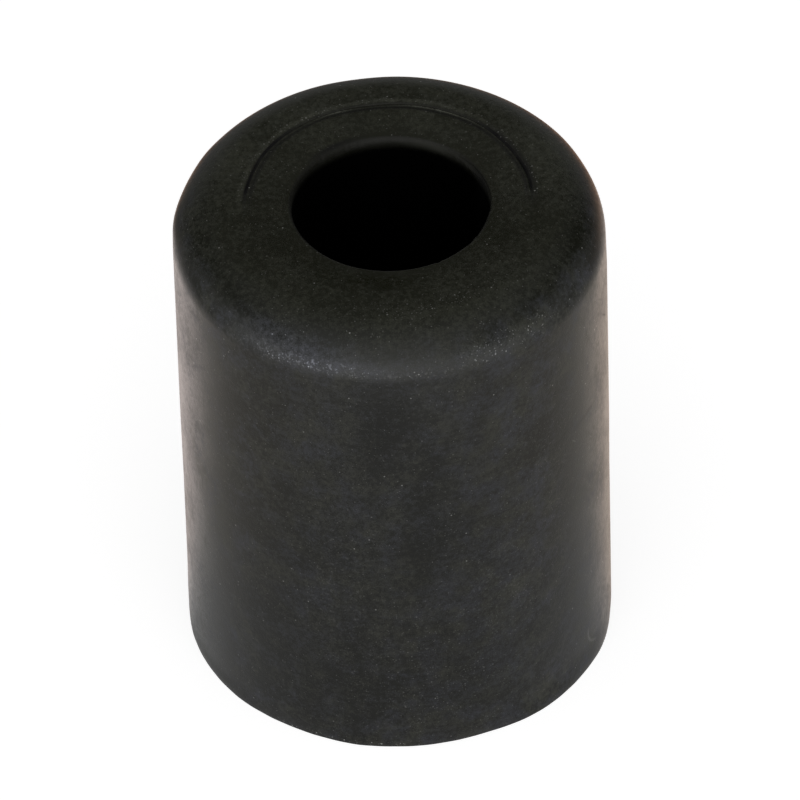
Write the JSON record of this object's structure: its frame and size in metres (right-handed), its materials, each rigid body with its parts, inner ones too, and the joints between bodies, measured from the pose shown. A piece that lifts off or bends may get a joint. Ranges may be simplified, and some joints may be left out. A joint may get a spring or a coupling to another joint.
{
  "type": "rubber cabinet foot",
  "caption": "Round moulded rubber foot with a flat mounting face, straight sides, a rounded floor end and a deep screw recess with a clearance hole through the web at its bottom.",
  "frame": {"origin": "centre of the flat mounting face, the one that is screwed against the cabinet", "axes": "+Z along the foot's axis, from the mounting face to the floor end and the mouth of the screw recess; X and Y are any two directions across it, because the foot is round"},
  "size_m": [0.035, 0.035, 0.0445],
  "materials": {
    "rubber": "matt moulded black rubber with fine dust in its grain"
  },
  "bodies": {
    "root": {"rubber_foot": "rubber"}
  },
  "joints": []
}
